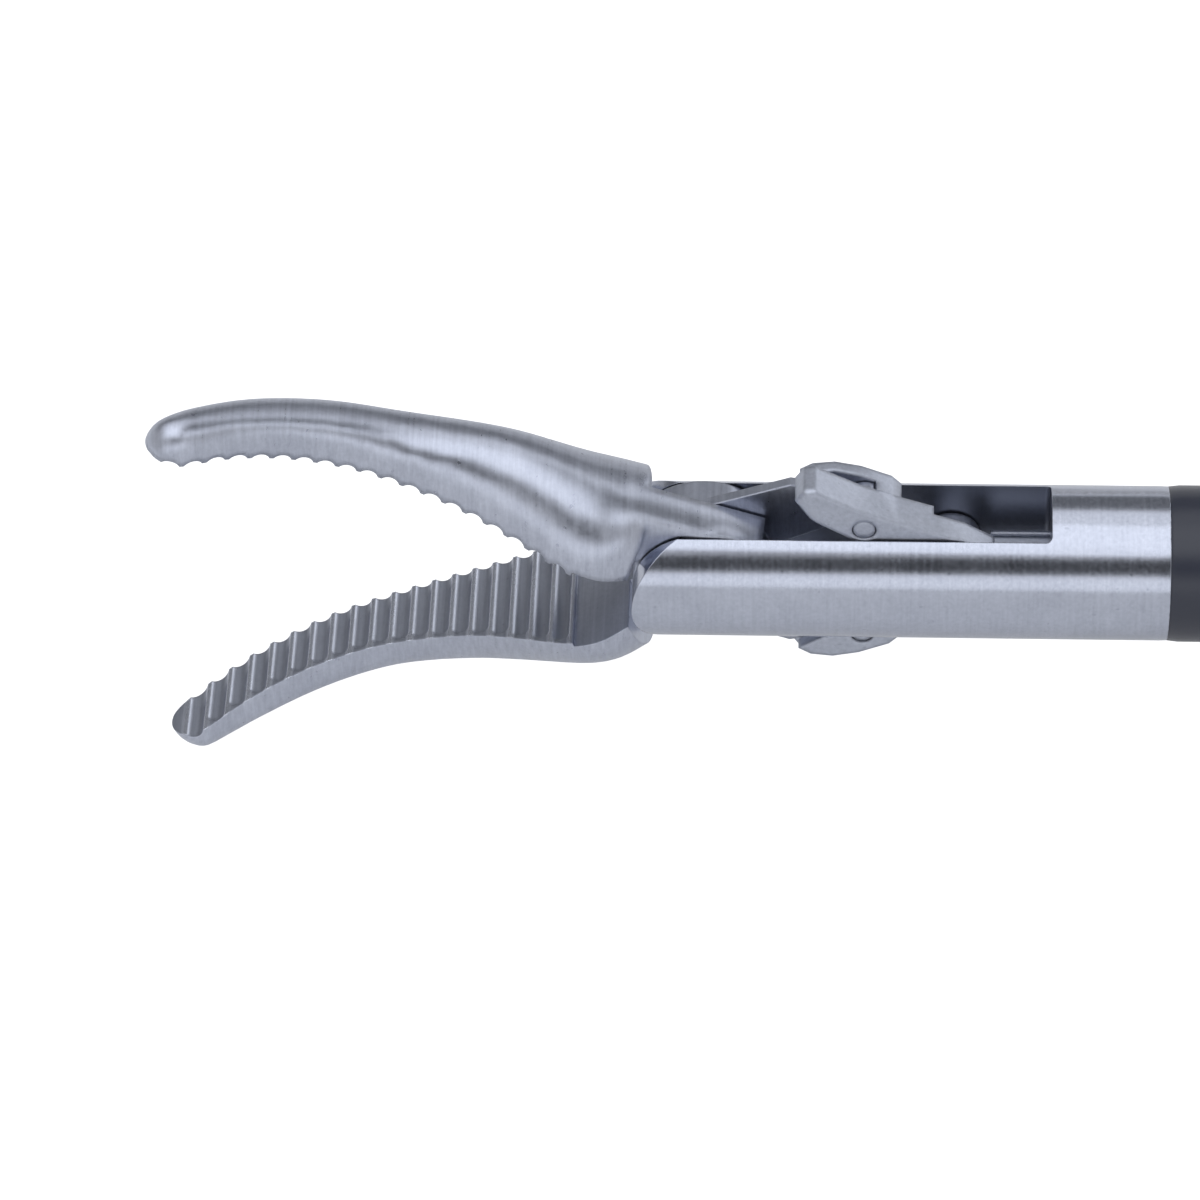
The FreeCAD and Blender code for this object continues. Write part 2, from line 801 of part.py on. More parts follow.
def flush_cap():
    """Return the cap that closes the flushing port."""
    x = knob_front + port_distance
    inner_top = port_height + 0.1
    top = inner_top + cap_height - 4.5
    shell = cylinder(cap_radius, Vector(x, 0, top - cap_height), Vector(x, 0, top))
    room = cylinder(port_radius + 0.75, Vector(x, 0, top - cap_height - 1), Vector(x, 0, inner_top))
    nib = cylinder(port_bore - 0.05, Vector(x, 0, inner_top - 3), Vector(x, 0, inner_top))
    cap = soften_rims(shell, 0.8)
    return cap.cut(room).fuse(nib)


# Handle

def housing_blank():
    """Return the outer form of the two housing halves together."""
    front = housing_front
    back = housing_front + housing_length
    corners = (
        (front, -housing_nose_half, 3.0),
        (front, housing_nose_half, 3.0),
        (front + housing_crown_setback, housing_crown, housing_crown_radius),
        (back - 12, housing_crown, 9.0),
        (back, 3.0, 9.0),
        (back, -10.0, 8.0),
        (back - housing_base_step, -housing_base, 9.0),
        (front + 5, -housing_base, 4.0),
    )
    return soften_rims(rounded_plate(corners, housing_half), housing_edge_radius)


def lever_neutral():
    """Return the thumb lever with its ball arm square to the shaft, and its pivot at the origin."""
    half = lever_thickness / 2
    hub = cylinder(lever_hub_radius, Vector(0, 0, -half), Vector(0, 0, half))
    arm_top = lever_pivot_drop + ball_radius + 0.4
    ball_arm = box(Vector(-4.4, 0, -half), Vector(4.4, arm_top, half))
    direction = math.radians(lever_open_angle - lever_swing / 2)
    reach = lever_reach - thumb_ring_bore_radius - ring_rim / 2
    bar = box(Vector(0, -lever_arm_width / 2, -half), Vector(reach, lever_arm_width / 2, half))
    bar = turned(bar, Vector(0, 0, 0), Z_AXIS, math.degrees(direction))
    centre = Vector(lever_reach * math.cos(direction), lever_reach * math.sin(direction), 0)
    ring_half = grip_thickness / 2
    ring = cylinder(
        thumb_ring_bore_radius + ring_rim,
        centre.add(Vector(0, 0, -ring_half)),
        centre.add(Vector(0, 0, ring_half)),
    )
    hole = cylinder(
        thumb_ring_bore_radius, centre.add(Vector(0, 0, -ring_half)), centre.add(Vector(0, 0, ring_half))
    )
    ring = soften_rims(ring.cut(hole), ring_rim / 2 - 0.1)
    body = hub.fuse(ball_arm).fuse(bar).cut(hole).fuse(ring)
    ball_half = ball_radius + ball_gap
    ball_room = box(
        Vector(-ball_half, lever_pivot_drop - ball_half - 0.2, -ball_half),
        Vector(ball_half, arm_top + 1, half + 1),
    )
    rod_room = box(
        Vector(-5, lever_pivot_drop - rod_radius - 1.0, -rod_radius - 0.3),
        Vector(0, arm_top + 1, half + 1),
    )
    pin_hole = cylinder(
        lever_pin_diameter / 2 + running_gap, Vector(0, 0, -half - 1), Vector(0, 0, half + 1)
    )
    return body.cut(ball_room).cut(rod_room).cut(pin_hole).removeSplitter()


def thumb_lever():
    """Return the thumb lever at rest, with the jaws open."""
    lever = turned(lever_neutral(), Vector(0, 0, 0), Z_AXIS, lever_swing / 2)
    return moved(lever, lever_pivot)


def lever_room():
    """Return the space inside the housing in which the lever swings."""
    half = lever_thickness / 2 + lever_side_gap
    low = Vector(0, 0, -half)
    high = Vector(0, 0, half)
    hub_room = cylinder(lever_hub_radius + 0.8, lever_pivot.add(low), lever_pivot.add(high))
    top_room = box(
        lever_pivot.add(Vector(-6.4, 0, -half)), lever_pivot.add(Vector(6.4, lever_pivot_drop + 4.2, half))
    )
    side = lever_arm_width / 2 + 0.8
    length = 45.0
    corners = []
    for angle, sign in ((lever_open_angle, 1), (lever_open_angle - lever_swing, -1)):
        along = Vector(math.cos(math.radians(angle)), math.sin(math.radians(angle)), 0)
        across = Vector(-along.y, along.x, 0).multiply(sign * side)
        start = lever_pivot.add(across)
        end = start.add(Vector(along).multiply(length))
        corners.append((start, end))
    open_side, closed_side = corners
    outline = [open_side[0], open_side[1], closed_side[1], closed_side[0], open_side[0]]
    face = Part.Face(Part.makePolygon([point.add(low) for point in outline]))
    swing_room = face.extrude(Vector(0, 0, 2 * half))
    return hub_room.fuse(top_room).fuse(swing_room)


def screw_places():
    """Return the places of the three housing screws in the XY plane."""
    return (
        Vector(housing_front + 17.0, 7.2, 0),
        Vector(housing_front + housing_length - 6.5, -3.0, 0),
        Vector(tang_x, -13.6, 0),
    )


def connector_points():
    """Return the inner end, the collar's outer end and the free end of the connector pin."""
    angle = math.radians(connector_angle)
    along = Vector(math.cos(angle), math.sin(angle), 0)
    inner = Vector(connector_x, connector_y, 0)
    collar_end = inner.add(Vector(along).multiply(collar_length))
    free_end = collar_end.add(Vector(along).multiply(connector_pin_exposed))
    return inner, collar_end, free_end


def housing_whole():
    """Return both housing halves as one, with every seat and bore cut."""
    body = housing_blank()
    nose = housing_front
    body = body.cut(
        cylinder(hub_neck_radius + running_gap, Vector(nose - 1, 0, 0), Vector(flange_back + 5, 0, 0))
    )
    body = body.cut(
        cylinder(
            hub_flange_radius + 0.1, Vector(flange_front - 0.1, 0, 0), Vector(flange_back + 0.1, 0, 0)
        )
    )
    body = body.cut(cylinder(hub_neck_radius + 0.2, Vector(flange_back, 0, 0), Vector(lever_pivot_x, 0, 0)))
    body = body.cut(lever_room())
    half_pin = lever_pin_length / 2
    body = body.cut(
        cylinder(
            lever_pin_diameter / 2 + press_gap,
            lever_pivot.add(Vector(0, 0, -half_pin)),
            lever_pivot.add(Vector(0, 0, half_pin)),
        )
    )
    inner, collar_end, free_end = connector_points()
    body = body.cut(cylinder(collar_radius + press_gap, inner, collar_end.add(collar_end.sub(inner))))
    body = body.cut(grip_tang(press_gap))
    for place in screw_places():
        top = housing_half - screw_sink
        shank_end = -housing_half + 3.0
        body = body.cut(
            cylinder(
                screw_shank_radius + press_gap,
                place.add(Vector(0, 0, shank_end)),
                place.add(Vector(0, 0, housing_half)),
            )
        )
        body = body.cut(
            cylinder(
                screw_head_radius + running_gap,
                place.add(Vector(0, 0, top - screw_head_height)),
                place.add(Vector(0, 0, housing_half + 1)),
            )
        )
    return body


def housing_part(upper):
    """Return one of the two housing halves, which meet at the middle plane."""
    reach = Vector(housing_front - 2, -2 * housing_base, 0)
    far = Vector(housing_front + housing_length + 2, 2 * housing_base, housing_half + 1)
    half_space = box(reach, far)
    if not upper:
        half_space = half_space.mirror(Vector(0, 0, 0), Z_AXIS)
    return housing_whole().common(half_space)


def grip_tang(gap):
    """Return the tongue of the finger grip that is clamped in the housing, wider by a gap."""
    half = lever_thickness / 2 + gap
    width = tang_width / 2 + gap
    low = Vector(tang_x - width, -housing_base - 1, -half)
    return box(low, Vector(tang_x + width, -housing_base + tang_depth + gap, half))


def finger_grip():
    """Return the fixed ring for the fingers with its arm and tongue."""
    half = grip_thickness / 2
    centre = Vector(finger_ring_x, finger_ring_y, 0)
    outer = obround(centre, finger_ring_radius + ring_rim, finger_ring_stretch, half)
    inner = obround(centre, finger_ring_radius, finger_ring_stretch, half + 1)
    ring_top = finger_ring_y + finger_ring_stretch + finger_ring_radius + ring_rim / 2
    arm_corners = (
        (tang_x - tang_width / 2 - 1, -housing_base, 1.0),
        (tang_x + tang_width / 2 + 1, -housing_base, 1.0),
        (finger_ring_x + 6.5, ring_top, 1.0),
        (finger_ring_x - 6.5, ring_top, 1.0),
    )
    arm = soften_rims(rounded_plate(arm_corners, half), grip_edge_radius)
    ring = soften_rims(outer.cut(inner), ring_rim / 2 - 0.15)
    body = arm.cut(inner).fuse(ring).fuse(grip_tang(0))
    screw_place = screw_places()[2]
    hole = cylinder(
        screw_shank_radius + press_gap,
        screw_place.add(Vector(0, 0, -half)),
        screw_place.add(Vector(0, 0, half)),
    )
    return body.cut(hole)


def lever_pivot_pin():
    """Return the pin on which the thumb lever turns."""
    half = lever_pin_length / 2 - press_gap
    return cylinder(
        lever_pin_diameter / 2,
        lever_pivot.add(Vector(0, 0, -half)),
        lever_pivot.add(Vector(0, 0, half)),
    )


def connector_pin():
    """Return the metal pin that takes the current cable's socket."""
    inner, collar_end, free_end = connector_points()
    exposed = cylinder(connector_pin_diameter / 2, collar_end, free_end)
    rim = [edge for edge in exposed.Edges if edge.Closed and edge.CenterOfMass.sub(free_end).Length < 0.01]
    root = cylinder(connector_root_diameter / 2, inner, collar_end)
    return exposed.makeFillet(connector_tip_round, rim).fuse(root)


def connector_collar():
    """Return the insulating collar round the connector pin's root."""
    inner, collar_end, free_end = connector_points()
    body = cylinder(collar_radius, inner, collar_end)
    hole = cylinder(connector_root_diameter / 2 + press_gap, inner, collar_end)
    return body.cut(hole)


def housing_screws():
    """Return the three screws that hold the housing halves together."""
    screws = []
    for place in screw_places():
        top = housing_half - screw_sink
        head = cylinder(
            screw_head_radius,
            place.add(Vector(0, 0, top - screw_head_height)),
            place.add(Vector(0, 0, top)),
        )
        shank = cylinder(
            screw_shank_radius,
            place.add(Vector(0, 0, -housing_half + screw_end_cover)),
            place.add(Vector(0, 0, top - screw_head_height)),
        )
        points = []
        for corner in range(7):
            angle = math.pi / 3 * corner
            across = screw_socket_radius * math.cos(angle)
            along = screw_socket_radius * math.sin(angle)
            points.append(place.add(Vector(across, along, top - screw_socket_depth)))
        socket = Part.Face(Part.makePolygon(points)).extrude(Vector(0, 0, 2))
        screws.append(head.fuse(shank).cut(socket).removeSplitter())
    return Part.makeCompound(screws)


def build():
    """Make every piece and write one file for each."""
    pieces = {
        "clevis": clevis(),
        "jaw_pivot_pin": jaw_pivot_pin(),
        "upper_jaw": open_jaw(True),
        "lower_jaw": open_jaw(False),
        "upper_link": open_link(True),
        "lower_link": open_link(False),
        "upper_tail_pin": tail_pin(True),
        "lower_tail_pin": tail_pin(False),
        "drive_pin": drive_pin(),
        "rod_head": rod_head(),
        "push_rod": push_rod(),
        "rod_ball": rod_ball(),
        "rod_guides": rod_guides(),
        "rod_seal": rod_seal(),
        "outer_tube": outer_tube(),
        "insulation_sleeve": insulation_sleeve(),
        "rotation_knob": rotation_knob(),
        "knob_hub": knob_hub(),
        "retaining_ring": retaining_ring(),
        "flush_port": flush_port(),
        "flush_cap": flush_cap(),
        "housing_upper": housing_part(True),
        "housing_lower": housing_part(False),
        "finger_grip": finger_grip(),
        "thumb_lever": thumb_lever(),
        "lever_pivot_pin": lever_pivot_pin(),
        "connector_pin": connector_pin(),
        "connector_collar": connector_collar(),
        "housing_screws": housing_screws(),
    }
    os.makedirs("parts", exist_ok=True)
    for name, shape in pieces.items():
        shape.exportStep(os.path.join("parts", name + ".step"))
        print(name, len(shape.Solids), round(shape.Volume, 3), shape.isValid())
    print("rod stroke", round(rod_stroke, 4), "lever swing", round(lever_swing, 3))
    print("link turn", round(link_turn, 3), "drive x", round(drive_x, 4), "ball x", round(ball_x, 4))


build()
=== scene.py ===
"""The looks of a 5 mm laparoscopic grasper with curved toothed jaws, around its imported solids."""

from __future__ import annotations

import logging
import math
from dataclasses import dataclass, replace
from enum import Enum
from typing import Sequence

import bmesh
import bpy
import numpy as np
from mathutils import Matrix, Vector

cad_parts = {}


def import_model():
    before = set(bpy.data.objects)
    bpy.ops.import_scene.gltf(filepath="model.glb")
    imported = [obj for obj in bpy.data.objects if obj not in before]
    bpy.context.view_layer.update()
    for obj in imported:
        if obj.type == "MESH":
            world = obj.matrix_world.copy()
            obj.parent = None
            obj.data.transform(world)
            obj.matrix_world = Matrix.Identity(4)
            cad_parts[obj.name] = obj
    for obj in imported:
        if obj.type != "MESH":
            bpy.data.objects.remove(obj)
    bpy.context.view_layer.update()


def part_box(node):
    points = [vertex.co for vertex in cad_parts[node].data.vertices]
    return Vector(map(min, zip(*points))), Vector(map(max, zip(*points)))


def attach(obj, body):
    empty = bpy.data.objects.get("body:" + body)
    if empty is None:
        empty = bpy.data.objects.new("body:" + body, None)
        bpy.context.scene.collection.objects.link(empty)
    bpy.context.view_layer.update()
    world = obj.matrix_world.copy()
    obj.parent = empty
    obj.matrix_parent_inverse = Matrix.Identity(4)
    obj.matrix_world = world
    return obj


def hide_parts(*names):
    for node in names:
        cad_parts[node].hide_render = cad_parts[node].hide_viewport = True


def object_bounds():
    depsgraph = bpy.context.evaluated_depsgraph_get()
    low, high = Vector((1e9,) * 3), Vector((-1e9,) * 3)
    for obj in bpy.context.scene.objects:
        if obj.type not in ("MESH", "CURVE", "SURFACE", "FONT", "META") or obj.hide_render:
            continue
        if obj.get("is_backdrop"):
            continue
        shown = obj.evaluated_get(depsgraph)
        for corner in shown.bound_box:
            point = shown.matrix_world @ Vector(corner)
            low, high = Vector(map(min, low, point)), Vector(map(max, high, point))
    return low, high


LOG = logging.getLogger("grasper")
MM = 0.001
MIX_FACTOR = 0
MIX_FIRST = 6
MIX_SECOND = 7
MIX_RESULT = 2
SMOOTH_ANGLE = 28.0
TURNED_ANGLE = 32.0
LONGEST_EDGE = 0.3 * MM
MERGE_DISTANCE = 0.0004 * MM


class Grain(Enum):
    """The way in which a metal surface was finished."""

    TURNED = "turned"
    GROUND = "ground"
    SATIN = "satin"


class Value:
    """A shader socket that takes part in ordinary arithmetic."""

    def __init__(self, graph: Graph, socket: bpy.types.NodeSocket) -> None:
        """Hold the graph and the output socket."""
        self.graph = graph
        self.socket = socket

    def _math(self, operation: str, first: Value | float, second: Value | float) -> Value:
        """Add a Math node.

        Args:
            operation: the Math node's operation.
            first: its first input.
            second: its second input.

        Returns:
            The node's output.
        """
        made = self.graph.add("ShaderNodeMath", {"operation": operation}, {0: first, 1: second})
        return Value(self.graph, made.outputs[0])

    def __add__(self, other: Value | float) -> Value:
        """Return the sum."""
        return self._math("ADD", self, other)

    def __radd__(self, other: float) -> Value:
        """Return the reflected sum."""
        return self._math("ADD", other, self)

    def __sub__(self, other: Value | float) -> Value:
        """Return the difference."""
        return self._math("SUBTRACT", self, other)

    def __rsub__(self, other: float) -> Value:
        """Return the reflected difference."""
        return self._math("SUBTRACT", other, self)

    def __mul__(self, other: Value | float) -> Value:
        """Return the product."""
        return self._math("MULTIPLY", self, other)

    def __rmul__(self, other: float) -> Value:
        """Return the reflected product."""
        return self._math("MULTIPLY", other, self)

    def fraction(self) -> Value:
        """Return what is left above the whole number."""
        return self._math("FRACT", self, 0.0)

    def size(self) -> Value:
        """Return the value without its sign."""
        return self._math("ABSOLUTE", self, 0.0)

    def clamped(self) -> Value:
        """Return the value held between 0 and 1."""
        made = self.graph.add("ShaderNodeClamp", {}, {"Value": self})
        return Value(self.graph, made.outputs[0])

    def ramp(self, low: float, high: float) -> Value:
        """Return 0 below the low value, 1 above the high one and a slope between them."""
        return ((self - low) * (1.0 / (high - low))).clamped()


class Graph:
    """The node tree of one material or of the world."""

    def __init__(self, tree: bpy.types.NodeTree) -> None:
        """Empty the tree and keep it."""
        tree.nodes.clear()
        self.tree = tree

    def add(self, kind: str, settings: dict, inputs: dict) -> bpy.types.Node:
        """Add a node.

        Args:
            kind: the node's type.
            settings: its properties, set first.
            inputs: values or links, by socket name or number.

        Returns:
            The new node.
        """
        node = self.tree.nodes.new(kind)
        for name, setting in settings.items():
            setattr(node, name, setting)
        for key, given in inputs.items():
            socket = node.inputs[key]
            if isinstance(given, Value):
                self.tree.links.new(given.socket, socket)
            elif isinstance(given, bpy.types.NodeSocket):
                self.tree.links.new(given, socket)
            else:
                socket.default_value = given
        return node

    def value(self, kind: str, settings: dict, inputs: dict, output: str | int = 0) -> Value:
        """Add a node and return one of its outputs as a Value."""
        return Value(self, self.add(kind, settings, inputs).outputs[output])

    def place(self) -> Value:
        """Return the piece's own coordinates, in metres."""
        return self.value("ShaderNodeTexCoord", {}, {}, "Object")

    def normal(self) -> Value:
        """Return the normal in the piece's own coordinates."""
        return self.value("ShaderNodeTexCoord", {}, {}, "Normal")

    def stretched(self, place: Value, scale: tuple[float, float, float]) -> Value:
        """Return coordinates scaled by a vector."""
        return self.value("ShaderNodeMapping", {}, {"Vector": place, "Scale": scale})

    def noise(self, place: Value, scale: float, detail: float = 2.0, rough: float = 0.5) -> Value:
        """Return a noise between 0 and 1.

        Args:
            place: the coordinates.
            scale: waves per metre.
            detail: the number of finer octaves.
            rough: how strong the finer octaves are.

        Returns:
            The noise's value.
        """
        inputs = {"Vector": place, "Scale": scale, "Detail": detail, "Roughness": rough}
        return self.value("ShaderNodeTexNoise", {}, inputs, "Fac")

    def along(self, place: Value, direction: Value | tuple[float, float, float]) -> Value:
        """Return how far a vector reaches along a direction."""
        inputs = {0: place, 1: direction}
        return self.value("ShaderNodeVectorMath", {"operation": "DOT_PRODUCT"}, inputs, "Value")

    def blend(self, factor: Value | float, first: Value | tuple, second: Value | tuple) -> Value:
        """Return a colour between two colours."""
        inputs = {MIX_FACTOR: factor, MIX_FIRST: first, MIX_SECOND: second}
        return self.value("ShaderNodeMix", {"data_type": "RGBA"}, inputs, MIX_RESULT)


def colour(red: float, green: float, blue: float) -> tuple[float, float, float, float]:
    """Return a linear colour with full alpha."""
    return (red, green, blue, 1.0)


@dataclass(frozen=True)
class Steel:
    """Stainless steel with a fine grain."""

    name: str
    grain: Grain
    light: tuple
    dark: tuple
    roughness: float
    roughness_spread: float = 0.08
    grain_scale: float = 9000.0
    grain_depth: float = 0.0012 * MM
    grain_share: float = 0.35
    edge: float = 0.05 * MM

    def stretch(self) -> tuple[float, float, float]:
        """Return how much the grain is drawn out along each axis."""
        if self.grain is Grain.TURNED:
            return (1.0, 0.05, 0.05)
        if self.grain is Grain.GROUND:
            return (1.0, 0.03, 0.15)
        return (0.6, 0.6, 0.6)

    def surface(self, graph: Graph, place: Value, tone: Value) -> tuple[Value, Value]:
        """Return the surface's base colour and roughness.

        Args:
            graph: the material's graph.
            place: the piece's coordinates.
            tone: the grain's tone, between 0 and 1.

        Returns:
            The base colour and the roughness.
        """
        base = graph.blend(tone, self.dark, self.light)
        return base, self.roughness + (tone - 0.5) * self.roughness_spread

    def material(self) -> bpy.types.Material:
        """Return the finish as a material."""
        made = bpy.data.materials.new(self.name)
        made.use_nodes = True
        graph = Graph(made.node_tree)
        place = graph.place()
        grain = graph.noise(graph.stretched(place, self.stretch()), self.grain_scale, 3.0, 0.6)
        cloud = graph.noise(place, 700.0, 3.0, 0.55)
        speck = graph.noise(place, 7500.0, 2.0, 0.6)
        pits = graph.noise(place, 4200.0, 1.0, 0.4).ramp(0.755, 0.80)
        mixed = cloud * 0.25 + grain * self.grain_share + speck * (0.75 - self.grain_share)
        tone = ((mixed - 0.5) * 2.6 + 0.5 - pits * 0.7).clamped()
        base, roughness = self.surface(graph, place, tone)
        rounded = graph.value("ShaderNodeBevel", {"samples": 6}, {"Radius": self.edge}, "Normal")
        bump = graph.value(
            "ShaderNodeBump",
            {},
            {
                "Strength": 0.6,
                "Distance": self.grain_depth,
                "Height": grain * 0.7 + speck * 0.3,
                "Normal": rounded,
            },
        )
        shader = graph.add(
            "ShaderNodeBsdfPrincipled",
            {},
            {
                "Base Color": base,
                "Metallic": 1.0,
                "Roughness": roughness,
                "Normal": bump,
            },
        )
        graph.add("ShaderNodeOutputMaterial", {}, {"Surface": shader.outputs[0]})
        return made


@dataclass(frozen=True)
class JawSteel(Steel):
    """The steel of a jaw, whose toothed face has painted shade and rougher steel in its grooves and on its
    heel, and painted highlights and smoother steel on its crests.
    """

    pivot: tuple[float, float, float] = (-14.8 * MM, 0.0, 0.0)
    opening: float = 20.0
    face_up: bool = True
    first_tooth: float = 4.5 * MM
    tooth_pitch: float = 0.71 * MM
    crest_step: float = 0.03 * MM
    # painted shade, laid into the tooth face's grooves and more faintly on its heel
    groove_shade: tuple = (0.16, 0.17, 0.20, 1.0)
    # painted highlight, laid onto the tooth crests
    bright: tuple = (0.80, 0.83, 0.93, 1.0)

    def surface(self, graph: Graph, place: Value, tone: Value) -> tuple[Value, Value]:
        """Return the base colour and roughness, with painted shade and painted highlights on the tooth
        face.
        """
        base, roughness = super().surface(graph, place, tone)
        lean = math.radians(self.opening)
        side = 1.0 if self.face_up else -1.0
        face_normal = (-math.sin(lean), 0.0, side * math.cos(lean))
        jaw_line = (-math.cos(lean), 0.0, -side * math.sin(lean))
        facing = graph.along(graph.normal(), face_normal).ramp(0.35, 0.6)
        start = sum(part * line for part, line in zip(self.pivot, jaw_line))
        distance = graph.along(place, jaw_line) - start
        toothed = distance.ramp(self.first_tooth, self.first_tooth + self.crest_step)
        phase = ((distance - self.first_tooth) * (1.0 / self.tooth_pitch)).fraction()
        # The tooth crests get a painted highlight and a little less roughness.
        crest_highlight = ((phase - 0.5).size() * 2.0).ramp(0.52, 0.86) * toothed * facing
        # Painted shade over the rest of the tooth face: strongest in the toothed grooves, fainter on the
        # untoothed heel.
        painted_face_shade = facing * (1.0 - crest_highlight) * (toothed * 0.7 + 0.3)
        base = graph.blend(painted_face_shade * 0.55, base, self.groove_shade)
        base = graph.blend(crest_highlight * 0.55, base, self.bright)
        return base, roughness + painted_face_shade * 0.14 - crest_highlight * 0.04


@dataclass(frozen=True)
class SlottedSteel(Steel):
    """The steel of the clevis, whose slot has painted shade and is rougher than its turned outside."""

    # painted shade for the inside of the slot
    slot_shade: tuple = (0.25, 0.265, 0.315, 1.0)
    fade: float = 0.3 * MM

    def surface(self, graph: Graph, place: Value, tone: Value) -> tuple[Value, Value]:
        """Return the base colour and roughness, with painted shade and more roughness on the faces that
        look inwards.
        """
        base, roughness = super().surface(graph, place, tone)
        across = graph.stretched(place, (0.0, 1.0, 1.0))
        outwards = graph.along(graph.normal(), across)
        # Faces that look inwards, into the slot, get painted shade and more roughness.
        inside = 1.0 - outwards.ramp(-self.fade, self.fade)
        return graph.blend(inside * 0.8, base, self.slot_shade), roughness + inside * 0.18


@dataclass(frozen=True)
class Moulded:
    """A moulded plastic or rubber with a fine skin."""

    name: str
    light: tuple
    dark: tuple
    roughness: float
    skin_scale: float = 3000.0
    skin_depth: float = 0.01 * MM
    edge: float = 0.15 * MM

    def material(self) -> bpy.types.Material:
        """Return the finish as a material."""
        made = bpy.data.materials.new(self.name)
        made.use_nodes = True
        graph = Graph(made.node_tree)
        place = graph.place()
        skin = graph.noise(place, self.skin_scale, 2.0, 0.55)
        cloud = graph.noise(place, 90.0, 3.0, 0.5)
        rounded = graph.value("ShaderNodeBevel", {"samples": 4}, {"Radius": self.edge}, "Normal")
        bump = graph.value(
            "ShaderNodeBump",
            {},
            {"Strength": 0.5, "Distance": self.skin_depth, "Height": skin, "Normal": rounded},
        )
        shader = graph.add(
            "ShaderNodeBsdfPrincipled",
            {},
            {
                "Base Color": graph.blend(cloud, self.dark, self.light),
                "Roughness": self.roughness + (cloud - 0.5) * 0.08,
                "Normal": bump,
            },
        )
        graph.add("ShaderNodeOutputMaterial", {}, {"Surface": shader.outputs[0]})
        return made


TIP_STEEL = Steel("tip_steel", Grain.TURNED, colour(0.58, 0.61, 0.71), colour(0.43, 0.455, 0.54), 0.20)
CLEVIS_STEEL = SlottedSteel(
    "clevis_steel", Grain.TURNED, colour(0.58, 0.61, 0.71), colour(0.43, 0.455, 0.54), 0.20
)
UPPER_JAW_STEEL = JawSteel(
    "upper_jaw_steel",
    Grain.GROUND,
    colour(0.60, 0.63, 0.73),
    colour(0.41, 0.435, 0.52),
    0.30,
    grain_depth=0.0012 * MM,
    grain_share=0.5,
    edge=0.4 * MM,
    face_up=False,
)
LOWER_JAW_STEEL = replace(UPPER_JAW_STEEL, name="lower_jaw_steel", edge=0.07 * MM, face_up=True)
LINK_STEEL = Steel(
    "link_steel", Grain.SATIN, colour(0.57, 0.60, 0.69), colour(0.40, 0.425, 0.50), 0.42, edge=0.2 * MM
)
HANDLE_STEEL = Steel("handle_steel", Grain.TURNED, colour(0.66, 0.67, 0.68), colour(0.5, 0.51, 0.52), 0.2)
INSULATION = Moulded("black_insulation", colour(0.034, 0.038, 0.058), colour(0.024, 0.027, 0.042), 0.30)
PLASTIC = Moulded(
    "handle_plastic", colour(0.030, 0.030, 0.032), colour(0.020, 0.020, 0.022), 0.36, 2200.0, 0.02 * MM
)
RUBBER = Moulded("seal_rubber", colour(0.06, 0.06, 0.065), colour(0.04, 0.04, 0.045), 0.55)
PALE = Moulded("pale_plastic", colour(0.85, 0.85, 0.83), colour(0.75, 0.75, 0.73), 0.4)


def new_piece(name: str, verts: np.ndarray, faces: np.ndarray, smooth: bool = True) -> bpy.types.Object:
    """Make a mesh object from whole arrays.

    Args:
        name: the piece's name.
        verts: an array of points, in metres.
        faces: an array of quads.
        smooth: whether its faces are shaded smooth.

    Returns:
        The new object.
    """
    mesh = bpy.data.meshes.new(name)
    mesh.from_pydata(verts.reshape(-1, 3), [], faces.tolist())
    mesh.polygons.foreach_set("use_smooth", np.full(len(mesh.polygons), smooth))
    mesh.update()
    made = bpy.data.objects.new(name, mesh)
    bpy.context.scene.collection.objects.link(made)
    return made


def ring_faces(rows: int, columns: int, closed_rows: bool) -> np.ndarray:
    """Return the quads of a grid whose columns close on themselves.

    Args:
        rows: the number of rings.
        columns: the number of points in each ring.
        closed_rows: whether the last ring joins the first.

    Returns:
        An array of quads.
    """
    row = np.arange(rows if closed_rows else rows - 1)[:, None]
    column = np.arange(columns)[None, :]
    next_row = (row + 1) % rows
    next_column = (column + 1) % columns
    quads = np.stack(
        [
            row * columns + column,
            next_row * columns + column,
            next_row * columns + next_column,
            row * columns + next_column,
        ],
        axis=-1,
    )
    return quads.reshape(-1, 4)


def turned_piece(name: str, outline: Sequence[tuple[float, float]], segments: int = 96) -> bpy.types.Object:
    """Turn a closed outline about the shaft's axis.

    Each point at (x, radius) goes to (x, radius * cos(t), radius * sin(t)) as t runs round the circle.

    Args:
        name: the piece's name.
        outline: the closed outline's (x, radius) points, anticlockwise.
        segments: how many steps the circle has.

    Returns:
        The new object.
    """
    profile = np.array(outline, dtype=float)
    turn = np.linspace(0.0, 2 * math.pi, segments, endpoint=False)
    x = np.repeat(profile[:, 0][:, None], segments, axis=1)
    y = profile[:, 1][:, None] * np.cos(turn)[None, :]
    z = profile[:, 1][:, None] * np.sin(turn)[None, :]
    verts = np.stack([x, y, z], axis=-1)
    made = new_piece(name, verts, ring_faces(len(profile), segments, True))
    face_outwards(made)
    return made


def face_outwards(piece: bpy.types.Object) -> None:
    """Turn every face of a closed piece outwards and mark its sharp edges."""
    work = bmesh.new()
    work.from_mesh(piece.data)
    bmesh.ops.recalc_face_normals(work, faces=work.faces)
    work.to_mesh(piece.data)
    work.free()
    piece.data.set_sharp_from_angle(angle=math.radians(TURNED_ANGLE))


def unit(vectors: np.ndarray) -> np.ndarray:
    """Return vectors at length 1."""
    return vectors / np.linalg.norm(vectors, axis=1, keepdims=True)


